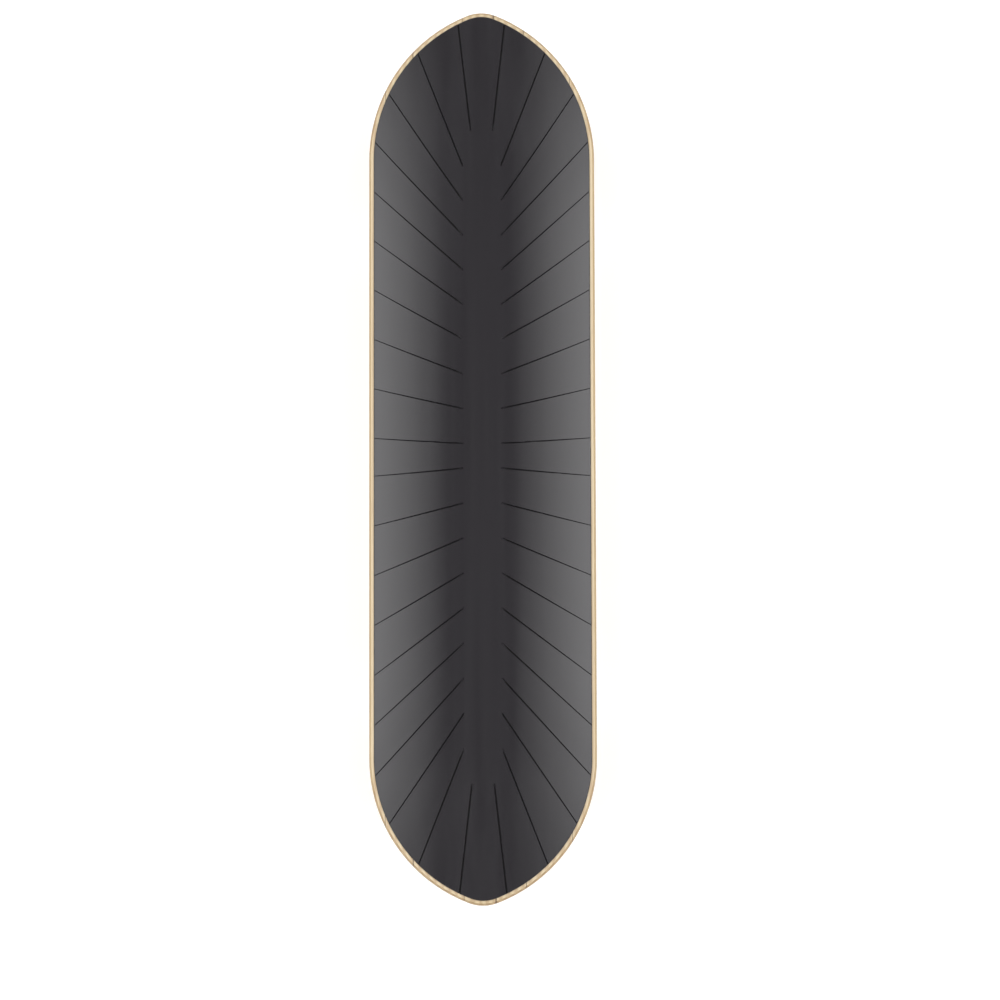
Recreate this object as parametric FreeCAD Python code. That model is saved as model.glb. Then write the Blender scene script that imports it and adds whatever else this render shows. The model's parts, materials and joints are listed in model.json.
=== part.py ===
import FreeCAD, Part
import math
import os

# A skateboard: laminated deck, grooved top sheet, two trucks and four wheels.
# Millimetres. +X is the nose, +Y the left side, +Z up. The board stands on its
# wheels, and the origin is on the ground under the middle of the deck.

vec = FreeCAD.Vector
up = vec(0, 0, 1)
across = vec(0, 1, 0)

# deck
deck_length = 800.1
deck_width = 203.2
side_arc_radius = 138.0     # the four long arcs that draw in the nose and tail
tip_radius = 36.0
ply_count = 7
ply_thickness = 1.5
rim_width = 4.4             # bare wood around the top sheet, rounded over
lower_edge_radius = 3.0
spine_half_width = 17.0     # flat strip along the middle
concave_depth = 10.0        # rise from the spine to the sides
concave_end_share = 0.55    # how much of the concave is left at the tips
concave_fade_start = 198.0  # from the middle to where the concave starts to fade
concave_fade_soft = 25.0
kick_angle = 13.0
kick_bend_radius = 190.0
kick_gap = 12.0             # from the outer screws to the start of the kick
face_margin = 8.0           # the deck's surface is drawn a little past its edge
face_steps_x = 40
face_steps_y = 28

# top sheet
sheet_thickness = 1.6
groove_width = 1.2          # at the inner end
groove_outer_share = 0.6    # each groove narrows to this share at the edge
groove_depth = 1.0
groove_count = 10           # in each quarter of the sheet
groove_inner_first = 11.2   # inner end nearest the middle
groove_inner_tip_gap = 101.5    # sheet's tip to the last groove's inner end
groove_last_offset = 9.9    # last groove's inner end, from the centre line
groove_outer_first = 17.0   # outer end nearest the middle
groove_outer_tip_gap = 22.0     # along the sheet's edge from its tip
groove_overrun = 4.0
layer_overrun = 4.0         # cutting layers reach past the faces they cut
strip_margin = 2.0          # the flat standing strip stays inside the spine
strip_skim = 0.1

# truck position and screws
screw_reach = 219.05        # from the tip to the inner row of screws
hole_pitch_x = 53.98
hole_pitch_y = 41.3
screw_radius = 2.4
screw_clearance = 0.3
screw_head_radius = 4.6
screw_head_height = 3.0
screw_socket = 3.0          # across flats
screw_socket_depth = 1.8
tee_barrel_radius = 3.5
tee_barrel_length = 8.0
tee_flange_radius = 7.0
tee_flange_height = 1.0
tee_sink = 0.1              # flanges are pressed below the wood's surface
riser_thickness = 3.0
riser_overhang = 1.0

# truck, in its own side view: out is towards the near tip, down is below the
# baseplate's mounting face
plate_length = 82.0
plate_width = 58.0
plate_thickness = 5.0
plate_corner = 9.0
plate_rounding = 2.0
axle_out = 4.0
truck_height = 53.0         # mounting face to axle
ring_out = -14.0
ring_lift = 19.0            # axle to the middle of the hanger's ring
pivot_out = 22.0
pivot_down = 12.0
kingpin_lean = 28.0         # degrees from the vertical
kingpin_radius = 4.75
kingpin_head_flats = 14.0
kingpin_head_height = 5.5
hex_face_share = 0.95       # round face of a nut against its flats
hex_chamfer_angle = 30.0
kingpin_nut_flats = 14.3
kingpin_nut_height = 8.0
kingpin_proud = 2.0
seat_thickness = 7.5        # casting between the kingpin's head and the washer
seat_boss_radius = 14.0
ring_radius = 15.5
ring_hole_radius = 8.0
ring_thickness = 8.0
board_bushing_height = 14.0
board_bushing_radius = 12.5
road_bushing_height = 11.0
road_bushing_wide = 12.0
road_bushing_narrow = 9.5
cup_washer_height = 1.5
cup_washer_radius = 12.0
pivot_radius = 5.5
pivot_clearance = 0.1
pivot_mouth_depth = 5.0
pivot_mouth_flare = 1.8
pivot_cup_wall = 2.6
pivot_cup_floor = 3.5
pivot_boss_wall = 3.2
hanger_inset = 36.6         # from the deck's side to the end of the hanger
beam_mid_radius = 11.5
beam_end_radius = 8.8
beam_wing_swell = 0.8
beam_mid_half = 16.0
nose_root_radius = 8.5
wing_half = 40.0            # where the wings run out along the beam
wing_thickness = 7.0
wing_ring_share = 0.92      # the wings meet the ring just inside its sides
brace_overlap = 2.0
brace_nose_share = 0.72     # how far up the pivot's nose the brace reaches
bushing_room = 2.0          # around the board bushing, when the hanger tips
fit_gap = 0.05              # running and assembly clearance, per side

# wheels and bearings
axle_radius = 4.0
axle_proud = 1.0
axle_nut_flats = 13.0
axle_nut_height = 8.0
washer_thickness = 1.0
washer_radius = 5.9
wheel_radius = 27.0
wheel_width = 32.0
wheel_shoulder = 6.0
wheel_hub_radius = 14.5
bearing_outer = 11.0
bearing_width = 7.0
bearing_lead_in = 0.8
spacer_length = 10.0
spacer_radius = 5.5
wheel_lip_radius = 8.7
race_outer_wall = 8.8
race_inner_wall = 6.2
ball_circle = 7.5
ball_count = 7
cage_half_wall = 0.4
cage_rim = 0.45
cage_gap = 0.3              # from the cage to the shields
shield_inner = 6.4
shield_inset = 0.4
shield_thickness = 0.4

cut_reach = 80.0            # long enough to cut through any truck casting
cut_margin = 2.0            # cutting tools start clear of what they cut
cut_tolerance = 0.001       # closer faces than this count as one in the deck's cuts

# worked out from the sizes above
half_length = deck_length / 2
half_width = deck_width / 2
deck_thickness = ply_count * ply_thickness
truck_x = half_length - screw_reach + hole_pitch_x / 2
kick_start = truck_x + hole_pitch_x / 2 + kick_gap
base_z = wheel_radius + truck_height
deck_low = base_z + riser_thickness
deck_high = deck_low + deck_thickness
sheet_high = deck_high + sheet_thickness
ring_down = truck_height - ring_lift
hanger_half = half_width - hanger_inset
bearing_stack = 2 * bearing_width + spacer_length
wheel_y = hanger_half + washer_thickness + bearing_stack / 2
nut_y = hanger_half + 2 * washer_thickness + bearing_stack
axle_half = nut_y + axle_nut_height + axle_proud
shield_depth = shield_inset + shield_thickness
cage_half_width = bearing_width / 2 - shield_depth - cage_gap
ball_radius = cage_half_width - cage_rim


def write(name, shape):
    shape.exportStep(os.path.join("parts", name + ".step"))


def group(solids):
    return Part.makeCompound(solids)


def revolved(points, center, direction):
    wire = Part.makePolygon(points + [points[0]])
    return Part.Face(wire).revolve(center, direction, 360)


def hexagon(center, direction, flats, height):
    """Hexagonal prism on center, growing along direction."""
    corner = flats / math.sqrt(3)
    points = []
    for i in range(7):
        angle = math.radians(60 * i)
        points.append(vec(corner * math.cos(angle), corner * math.sin(angle), 0))
    prism = Part.Face(Part.makePolygon(points)).extrude(vec(0, 0, height))
    prism.Placement = FreeCAD.Placement(center, FreeCAD.Rotation(up, direction))
    return prism


def hex_blank(center, direction, flats, height):
    """Hexagonal nut or bolt head with its corners turned off at both ends."""
    corner = flats / math.sqrt(3)
    face = hex_face_share * flats / 2
    drop = (corner - face) * math.tan(math.radians(hex_chamfer_angle))
    far = center + direction * height
    bar = Part.makeCylinder(corner, height - 2 * drop, center + direction * drop, direction)
    near_cone = Part.makeCone(face, corner, drop, center, direction)
    far_cone = Part.makeCone(corner, face, drop, far - direction * drop, direction)
    turned = bar.fuse([near_cone, far_cone])
    return hexagon(center, direction, flats, height).common(turned)


def tube(outer, inner, length, start, direction):
    body = Part.makeCylinder(outer, length, start, direction)
    hole = Part.makeCylinder(inner, length + 2 * cut_margin,
                             start - direction * cut_margin, direction)
    return body.cut(hole)


# The deck: seven plies and the top sheet follow one curved surface.


def outline_sizes(inset):
    """Sizes of the board's outline, moved inwards by inset."""
    arc = side_arc_radius - inset
    tip = tip_radius - inset
    reach = half_length - inset
    side = half_width - inset
    off = arc - side
    to_tip = math.sqrt((arc - tip) ** 2 - off ** 2)
    spring = reach - tip - to_tip
    return arc, tip, reach, side, off, to_tip, spring


def outline_point(inset, run):
    """Point on the nose's left quarter, run along the outline from the tip."""
    arc, tip, reach, side, off, to_tip, spring = outline_sizes(inset)
    join = math.atan2(off, to_tip)
    tip_run = tip * join
    arc_run = arc * (math.pi / 2 - join)
    if run < tip_run:
        angle = run / tip
        return vec(reach - tip + tip * math.cos(angle), tip * math.sin(angle), 0)
    if run < tip_run + arc_run:
        angle = join + (run - tip_run) / arc
        return vec(spring + arc * math.cos(angle), arc * math.sin(angle) - off, 0)
    return vec(spring - (run - tip_run - arc_run), side, 0)


def quarter_length(inset):
    arc, tip, reach, side, off, to_tip, spring = outline_sizes(inset)
    join = math.atan2(off, to_tip)
    return tip * join + arc * (math.pi / 2 - join) + spring


def outline_prism(inset):
    arc, tip, reach, side, off, to_tip, spring = outline_sizes(inset)
    join = math.atan2(off, to_tip)
    tip_run = tip * join
    arc_end = outline_point(inset, tip_run)
    arc_mid = outline_point(inset, tip_run + arc * (math.pi / 2 - join) / 2)

    def mirrored(point, end, hand):
        return vec(point.x * end, point.y * hand, 0)

    edges = []
    for hand in (1, -1):
        start = vec(-spring, side * hand, 0)
        edges.append(Part.LineSegment(start, vec(spring, side * hand, 0)).toShape())
    for end in (1, -1):
        tip_low = mirrored(arc_end, end, -1)
        tip_high = mirrored(arc_end, end, 1)
        edges.append(Part.Arc(tip_low, vec(reach * end, 0, 0), tip_high).toShape())
        for hand in (1, -1):
            start = vec(spring * end, side * hand, 0)
            middle = mirrored(arc_mid, end, hand)
            finish = mirrored(arc_end, end, hand)
            edges.append(Part.Arc(start, middle, finish).toShape())
    wire = Part.Wire(Part.__sortEdges__(edges))
    return Part.Face(wire).extrude(vec(0, 0, sheet_high + half_length))


def kick_rise(x):
    run = abs(x) - kick_start
    if run <= 0:
        return 0.0
    lean = math.radians(kick_angle)
    bend_run = kick_bend_radius * math.sin(lean)
    if run < bend_run:
        return kick_bend_radius - math.sqrt(kick_bend_radius ** 2 - run ** 2)
    bend_rise = kick_bend_radius * (1 - math.cos(lean))
    return bend_rise + (run - bend_run) * math.tan(lean)


def concave_rise(x, y):
    share = max(abs(y) - spine_half_width, 0) / (half_width - spine_half_width)
    past = abs(x) - concave_fade_start
    past = (past + math.hypot(past, concave_fade_soft)) / 2
    fade = past / (half_length - concave_fade_start)
    return concave_depth * share ** 2 * (1 - (1 - concave_end_share) * fade)


def deck_face():
    """The surface that every layer of the deck follows, at height 0."""
    rows = []
    for i in range(face_steps_x + 1):
        x = (half_length + face_margin) * (2 * i / face_steps_x - 1)
        row = []
        for j in range(face_steps_y + 1):
            y = (half_width + face_margin) * (2 * j / face_steps_y - 1)
            row.append(vec(x, y, kick_rise(x) + concave_rise(x, y)))
        rows.append(row)
    surface = Part.BSplineSurface()
    surface.interpolate(rows)
    return surface.toShape()


def layer(face, low, thickness):
    """The space between the deck surface at low and the same surface higher up."""
    bottom = face.copy()
    bottom.translate(vec(0, 0, low))
    return bottom.extrude(vec(0, 0, thickness))


def edge_loop(shape, wanted):
    """The edges that lie at the wanted height above the deck surface."""
    found = []
    for edge in shape.Edges:
        ends = [edge.valueAt(edge.FirstParameter), edge.valueAt(edge.LastParameter)]
        heights = [p.z - kick_rise(p.x) - concave_rise(p.x, p.y) for p in ends]
        if max(abs(h - wanted) for h in heights) < ply_thickness / 4:
            found.append(edge)
    return found


def deck_blank(face):
    """The whole laminate, with its rim rounded over above and below."""
    blank = layer(face, deck_low, deck_thickness).common(outline_prism(0))
    blank = blank.Solids[0]
    blank = blank.makeFillet(rim_width, edge_loop(blank, deck_high))
    return blank.makeFillet(lower_edge_radius, edge_loop(blank, deck_low))


def screw_places(end):
    places = []
    for side_x in (-1, 1):
        for side_y in (-1, 1):
            x = end * (truck_x + side_x * hole_pitch_x / 2)
            places.append(vec(x, side_y * hole_pitch_y / 2, 0))
    return places


def all_screw_places():
    return screw_places(1) + screw_places(-1)


def tee_nut(place):
    top = deck_high - tee_sink
    flange = Part.makeCylinder(tee_flange_radius, tee_flange_height,
                               place + vec(0, 0, top - tee_flange_height))
    barrel = Part.makeCylinder(tee_barrel_radius, tee_barrel_length,
                               place + vec(0, 0, top - tee_barrel_length))
    hole = Part.makeCylinder(screw_radius + fit_gap, tee_barrel_length + 2 * cut_margin,
                             place + vec(0, 0, top - tee_barrel_length - cut_margin))
    return flange.fuse(barrel).cut(hole).removeSplitter()


def tee_recess(place):
    """What a tee nut and its screw take out of the laminate."""
    shaft = Part.makeCylinder(tee_barrel_radius + fit_gap,
                              deck_thickness + 2 * layer_overrun,
                              place + vec(0, 0, deck_low - layer_overrun))
    flange_low = deck_high - tee_sink - tee_flange_height - fit_gap
    flange = Part.makeCylinder(tee_flange_radius + fit_gap,
                               tee_flange_height + layer_overrun,
                               place + vec(0, 0, flange_low))
    return shaft.fuse(flange)


def build_plies(face):
    blank = deck_blank(face)
    recesses = [tee_recess(place) for place in all_screw_places()]
    for i in range(ply_count):
        low = deck_low + i * ply_thickness
        high = low + ply_thickness
        if i == 0:
            low -= layer_overrun
        if i == ply_count - 1:
            high += layer_overrun
        ply = blank.common([layer(face, low, high - low)], cut_tolerance).cut(recesses)
        write("ply_%d" % (i + 1), ply.Solids[0])


def groove_prism(inner, outer):
    """Groove in plan: round at its inner end, narrowing to the sheet's edge."""
    along = (outer - inner).normalize()
    side = vec(-along.y, along.x, 0) * (groove_width / 2)
    narrow = side * groove_outer_share
    finish = outer + along * groove_overrun
    cap = Part.Arc(inner + side, inner - along * (groove_width / 2), inner - side)
    edges = [
        cap.toShape(),
        Part.LineSegment(inner - side, finish - narrow).toShape(),
        Part.LineSegment(finish - narrow, finish + narrow).toShape(),
        Part.LineSegment(finish + narrow, inner + side).toShape(),
    ]
    return Part.Face(Part.Wire(edges)).extrude(vec(0, 0, sheet_high + half_length))


def groove_ends(index):
    """Inner and outer end of a groove, counted from the middle of the board."""
    last = groove_count - 1
    inner_last = half_length - rim_width - groove_inner_tip_gap
    inner_pitch = (inner_last - groove_inner_first) / last
    edge = quarter_length(rim_width)
    outer_pitch = (edge - groove_outer_tip_gap - groove_outer_first) / last
    offset = groove_last_offset if index == last else spine_half_width
    inner = vec(groove_inner_first + index * inner_pitch, offset, 0)
    run = groove_outer_tip_gap + (last - index) * outer_pitch
    return inner, outline_point(rim_width, run)


def build_top_sheet(face):
    sheet = layer(face, deck_high, sheet_thickness).common(outline_prism(rim_width))
    open_layer = layer(face, sheet_high - groove_depth, groove_depth + layer_overrun)
    prisms = []
    for index in range(groove_count):
        inner, outer = groove_ends(index)
        for end in (1, -1):
            for hand in (1, -1):
                start = vec(inner.x * end, inner.y * hand, 0)
                finish = vec(outer.x * end, outer.y * hand, 0)
                prisms.append(groove_prism(start, finish).common(open_layer))
    sheet = sheet.cut(prisms)
    strip_x = kick_start - strip_margin
    strip_y = spine_half_width - groove_width / 2 - strip_margin
    strip = Part.makeBox(2 * strip_x, 2 * strip_y, layer_overrun,
                         vec(-strip_x, -strip_y, sheet_high - strip_skim))
    write("top_sheet", sheet.cut(strip).Solids[0])


# Each truck piece is made for the front truck. The rear one is turned half round.


def at(out, down):
    return vec(truck_x + out, 0, base_z - down)


kingpin_dir = vec(-math.sin(math.radians(kingpin_lean)), 0,
                  -math.cos(math.radians(kingpin_lean)))
ring_center = at(ring_out, ring_down)
pivot_center = at(pivot_out, pivot_down)
axle_center = at(axle_out, truck_height)
nose_dir = (pivot_center - axle_center).normalize()
ring_plane_dir = vec(-kingpin_dir.z, 0, kingpin_dir.x)
cup_radius = pivot_radius + pivot_cup_wall

# distances along the kingpin from the middle of the hanger's ring
ring_face = ring_thickness / 2
washer_seat = -(ring_face + board_bushing_height + cup_washer_height)
head_seat = washer_seat - seat_thickness
road_washer = ring_face + road_bushing_height
nut_seat = road_washer + cup_washer_height
kingpin_end = nut_seat + kingpin_nut_height + kingpin_proud


def on_kingpin(distance):
    return ring_center + kingpin_dir * distance


def write_pair(name, shape):
    """Front piece as built, rear piece turned half round about the middle."""
    write(name + "_front", shape)
    turned = shape.copy()
    turned.rotate(vec(0, 0, 0), up, 180)
    write(name + "_rear", turned)


def both_ends(shape):
    turned = shape.copy()
    turned.rotate(vec(0, 0, 0), up, 180)
    return [shape, turned]


def rounded_block(length, width, low, height, corner):
    block = Part.makeBox(length, width, height,
                         vec(truck_x - length / 2, -width / 2, low))
    upright = [e for e in block.Edges if e.Vertexes[0].Z != e.Vertexes[1].Z]
    return block.makeFillet(corner, upright)


def build_riser(face):
    length = plate_length + 2 * riser_overhang
    width = plate_width + 2 * riser_overhang
    reach = riser_thickness + concave_depth
    pad = rounded_block(length, width, base_z, reach, plate_corner + riser_overhang)
    pad = pad.cut(layer(face, deck_low, deck_thickness + reach))
    holes = []
    for place in screw_places(1):
        holes.append(Part.makeCylinder(screw_radius + screw_clearance,
                                       reach + 2 * cut_margin,
                                       place + vec(0, 0, base_z - cut_margin)))
    write_pair("riser", pad.cut(holes).Solids[0])


def build_baseplate():
    low = base_z - plate_thickness
    plate = rounded_block(plate_length, plate_width, low, plate_thickness, plate_corner)
    lower_rim = [e for e in plate.Edges if max(v.Z for v in e.Vertexes) <= low + fit_gap]
    plate = plate.makeFillet(plate_rounding, lower_rim)
    seat_low = on_kingpin(washer_seat)
    mouth = pivot_center - nose_dir * pivot_mouth_depth
    seat = Part.makeCylinder(seat_boss_radius, cut_reach, seat_low, kingpin_dir * -1)
    housing = Part.makeCylinder(cup_radius + pivot_boss_wall, cut_reach, mouth, nose_dir)
    web_width = seat_boss_radius
    web = Part.makeBox(pivot_center.x - seat_low.x, web_width, pivot_down,
                       vec(seat_low.x, -web_width / 2, base_z - pivot_down))
    body = plate.fuse([seat, housing, web])
    roof = Part.makeBox(4 * plate_length, 4 * plate_width, 2 * cut_reach,
                        vec(truck_x - 2 * plate_length, -2 * plate_width, base_z))
    cup_length = pivot_mouth_depth + pivot_radius + pivot_cup_floor + fit_gap
    head_room = kingpin_head_flats / math.sqrt(3) + screw_clearance
    cuts = [
        roof,
        Part.makeCylinder(kingpin_radius + fit_gap, cut_reach,
                          on_kingpin(washer_seat + cut_margin), kingpin_dir * -1),
        Part.makeCylinder(head_room, cut_reach, on_kingpin(head_seat), kingpin_dir * -1),
        Part.makeCylinder(cup_radius + fit_gap, cup_length + cut_margin,
                          mouth - nose_dir * cut_margin, nose_dir),
    ]
    for place in screw_places(1):
        cuts.append(Part.makeCylinder(screw_radius + screw_clearance, 2 * plate_thickness,
                                      place + vec(0, 0, low - plate_thickness / 2)))
    write_pair("baseplate", body.cut(cuts).removeSplitter().Solids[0])


def build_pivot_cup():
    seat = pivot_radius + pivot_clearance
    mouth = pivot_center - nose_dir * pivot_mouth_depth
    length = pivot_mouth_depth + pivot_radius + pivot_cup_floor
    cup = Part.makeCylinder(cup_radius, length, mouth, nose_dir)
    flare = Part.makeCone(seat + pivot_mouth_flare, seat, pivot_mouth_depth, mouth, nose_dir)
    cup = cup.cut([Part.makeSphere(seat, pivot_center), flare])
    write_pair("pivot_cup", cup.Solids[0])


def beam():
    """The round bar across the hanger, thicker in the middle."""
    points = [
        axle_center + vec(0, -hanger_half, 0),
        axle_center + vec(0, -hanger_half, beam_end_radius),
        axle_center + vec(0, -wing_half, beam_end_radius + beam_wing_swell),
        axle_center + vec(0, -beam_mid_half, beam_mid_radius),
        axle_center + vec(0, beam_mid_half, beam_mid_radius),
        axle_center + vec(0, wing_half, beam_end_radius + beam_wing_swell),
        axle_center + vec(0, hanger_half, beam_end_radius),
        axle_center + vec(0, hanger_half, 0),
    ]
    return revolved(points, axle_center, across)


def wings():
    """The triangular web that ties the ring to the beam."""
    half = ring_radius * wing_ring_share
    root = axle_center - kingpin_dir * (axle_center - ring_center).dot(kingpin_dir)
    lift = kingpin_dir * (-wing_thickness / 2)
    points = [
        ring_center + vec(0, half, 0) + lift,
        root + vec(0, wing_half, 0) + lift,
        root + vec(0, -wing_half, 0) + lift,
        ring_center + vec(0, -half, 0) + lift,
    ]
    face = Part.Face(Part.makePolygon(points + [points[0]]))
    return face.extrude(kingpin_dir * wing_thickness)


def brace():
    """The upright web from the beam to the ring and the pivot's nose."""
    half = wing_thickness / 2
    points = [
        axle_center,
        ring_center + ring_plane_dir * (ring_radius - brace_overlap),
        axle_center + (pivot_center - axle_center) * brace_nose_share,
    ]
    points = [p + vec(0, -half, 0) for p in points]
    face = Part.Face(Part.makePolygon(points + [points[0]]))
    return face.extrude(vec(0, wing_thickness, 0))


def build_hanger():
    nose_length = (pivot_center - axle_center).Length
    nose = Part.makeCone(nose_root_radius, pivot_radius, nose_length, axle_center, nose_dir)
    ball = Part.makeSphere(pivot_radius, pivot_center)
    ring = Part.makeCylinder(ring_radius, ring_thickness, on_kingpin(-ring_face), kingpin_dir)
    body = beam().fuse([ring, nose, ball, wings(), brace()])
    cuts = [
        Part.makeCylinder(ring_hole_radius, cut_reach, on_kingpin(-cut_reach / 2),
                          kingpin_dir),
        Part.makeCylinder(board_bushing_radius + bushing_room, cut_reach,
                          on_kingpin(-ring_face), kingpin_dir * -1),
        Part.makeCylinder(axle_radius, 2 * axle_half, axle_center - across * axle_half,
                          across),
    ]
    write_pair("hanger", body.cut(cuts).removeSplitter().Solids[0])


def build_kingpin():
    shaft = Part.makeCylinder(kingpin_radius, kingpin_end - head_seat,
                              on_kingpin(head_seat), kingpin_dir)
    head = hex_blank(on_kingpin(head_seat - kingpin_head_height), kingpin_dir,
                     kingpin_head_flats, kingpin_head_height)
    write_pair("kingpin", shaft.fuse(head).Solids[0])
    nut = hex_blank(on_kingpin(nut_seat), kingpin_dir, kingpin_nut_flats,
                    kingpin_nut_height)
    hole = Part.makeCylinder(kingpin_radius + fit_gap, kingpin_nut_height + 2 * cut_margin,
                             on_kingpin(nut_seat - cut_margin), kingpin_dir)
    write("kingpin_nuts", group(both_ends(nut.cut(hole))))


def build_bushings():
    bore = kingpin_radius + fit_gap
    long_hole = Part.makeCylinder(bore, cut_reach, on_kingpin(-cut_reach / 2), kingpin_dir)
    board = Part.makeCylinder(board_bushing_radius, board_bushing_height - fit_gap,
                              on_kingpin(washer_seat + cup_washer_height), kingpin_dir)
    write_pair("board_bushing", board.cut(long_hole))
    road = Part.makeCone(road_bushing_wide, road_bushing_narrow,
                         road_bushing_height - fit_gap,
                         on_kingpin(ring_face + fit_gap), kingpin_dir)
    write_pair("road_bushing", road.cut(long_hole))
    washers = []
    for start in (washer_seat, road_washer):
        washers += both_ends(tube(cup_washer_radius, bore, cup_washer_height,
                                  on_kingpin(start), kingpin_dir))
    write("cup_washers", group(washers))


def build_fasteners():
    screws = []
    head_low = base_z - plate_thickness - screw_head_height
    shaft_high = deck_high - ply_thickness
    for place in all_screw_places():
        head = Part.makeCylinder(screw_head_radius, screw_head_height,
                                 place + vec(0, 0, head_low))
        socket = hexagon(place + vec(0, 0, head_low - cut_margin), up, screw_socket,
                         cut_margin + screw_socket_depth)
        shaft = Part.makeCylinder(screw_radius, shaft_high - head_low - screw_socket_depth,
                                  place + vec(0, 0, head_low + screw_socket_depth))
        screws.append(head.fuse(shaft).cut(socket).Solids[0])
    write("deck_screws", group(screws))
    write("tee_nuts", group([tee_nut(place) for place in all_screw_places()]))


def ring_on_axle(outer, inner, low, high):
    """Tube around the front axle, from low to high across the board."""
    return tube(outer, inner, high - low, axle_center + vec(0, low, 0), across)


def build_axle():
    axle = Part.makeCylinder(axle_radius - fit_gap, 2 * axle_half,
                             axle_center - across * axle_half, across)
    write_pair("axle", axle)
    nuts = []
    washers = []
    for hand in (1, -1):
        start = axle_center + across * (nut_y * hand)
        nut = hex_blank(start, across * hand, axle_nut_flats, axle_nut_height)
        hole = Part.makeCylinder(axle_radius, 4 * axle_nut_height,
                                 start - across * (2 * axle_nut_height), across)
        nuts.append(nut.cut(hole))
        for inner_end in (hanger_half, nut_y - washer_thickness):
            low = min(inner_end * hand, (inner_end + washer_thickness) * hand)
            washers.append(ring_on_axle(washer_radius, axle_radius, low,
                                        low + washer_thickness))
    write_pair("axle_nuts", group(nuts))
    write_pair("speed_washers", group(washers))


def wheel(center):
    """Urethane wheel: flat tread, round shoulders, a bearing seat on each side."""
    half = wheel_width / 2
    seat = bearing_stack / 2
    stop = spacer_length / 2
    shoulder = wheel_radius - wheel_shoulder

    def point(radius, offset):
        return center + vec(0, offset, radius)

    side = [point(shoulder, half), point(wheel_hub_radius, half),
            point(bearing_outer + bearing_lead_in, seat), point(bearing_outer, seat),
            point(bearing_outer, stop), point(wheel_lip_radius, stop)]
    other = [point(p.z - center.z, center.y - p.y) for p in reversed(side)]
    outline = side + other
    bend = wheel_shoulder * math.sqrt(0.5)
    bend_radius = shoulder + bend
    bend_offset = half - wheel_shoulder + bend
    edges = Part.makePolygon(outline).Edges
    edges.append(Part.Arc(point(shoulder, -half), point(bend_radius, -bend_offset),
                          point(wheel_radius, wheel_shoulder - half)).toShape())
    edges.append(Part.LineSegment(point(wheel_radius, wheel_shoulder - half),
                                  point(wheel_radius, half - wheel_shoulder)).toShape())
    edges.append(Part.Arc(point(wheel_radius, half - wheel_shoulder),
                          point(bend_radius, bend_offset),
                          point(shoulder, half)).toShape())
    profile = Part.Face(Part.Wire(edges))
    return profile.revolve(center, across, 360)


def bearing(middle):
    """Outer race, inner race, balls, cage and shields of one ball bearing."""
    center = axle_center + vec(0, middle, 0)
    low = middle - bearing_width / 2
    high = middle + bearing_width / 2
    track = Part.makeTorus(ball_circle, ball_radius + fit_gap, center, across)
    outer = ring_on_axle(bearing_outer, race_outer_wall, low, high).cut(track)
    inner = ring_on_axle(race_inner_wall, axle_radius, low, high).cut(track)
    cage = ring_on_axle(ball_circle + cage_half_wall, ball_circle - cage_half_wall,
                        middle - cage_half_width, middle + cage_half_width)
    balls = []
    pockets = []
    for i in range(ball_count):
        angle = 2 * math.pi * i / ball_count
        outward = vec(math.cos(angle), 0, math.sin(angle))
        balls.append(Part.makeSphere(ball_radius, center + outward * ball_circle))
        pockets.append(Part.makeCylinder(ball_radius + 2 * fit_gap, 2 * ball_radius,
                                         center + outward * race_inner_wall, outward))
    shields = []
    for start in (low + shield_inset, high - shield_inset - shield_thickness):
        shields.append(ring_on_axle(race_outer_wall, shield_inner,
                                    start, start + shield_thickness))
    return outer, inner, balls, cage.cut(pockets), shields


def build_wheels():
    """Wheel, bearings and spacer at each end of both axles."""
    step = (spacer_length + bearing_width) / 2
    for hand, side_name in ((1, "left"), (-1, "right")):
        middle = wheel_y * hand
        pieces = {"wheel": [wheel(axle_center + vec(0, middle, 0))]}
        pieces["bearing_spacer"] = [ring_on_axle(spacer_radius, axle_radius,
                                                 middle - spacer_length / 2,
                                                 middle + spacer_length / 2)]
        for place in (middle - step, middle + step):
            outer, inner, balls, cage, shields = bearing(place)
            pieces.setdefault("outer_races", []).append(outer)
            pieces.setdefault("inner_races", []).append(inner)
            pieces.setdefault("balls", []).extend(balls)
            pieces.setdefault("ball_cages", []).append(cage)
            pieces.setdefault("shields", []).extend(shields)
        for name, solids in pieces.items():
            other = "right" if side_name == "left" else "left"
            shape = group(solids) if len(solids) > 1 else solids[0]
            front, rear = both_ends(shape)
            write("%s_front_%s" % (name, side_name), front)
            write("%s_rear_%s" % (name, other), rear)


os.makedirs("parts", exist_ok=True)
surface_face = deck_face()
build_plies(surface_face)
build_top_sheet(surface_face)
build_riser(surface_face)
build_baseplate()
build_pivot_cup()
build_hanger()
build_kingpin()
build_bushings()
build_fasteners()
build_axle()
build_wheels()
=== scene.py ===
import bmesh
import bpy
import json
import math
from mathutils import Matrix, Vector

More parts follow.
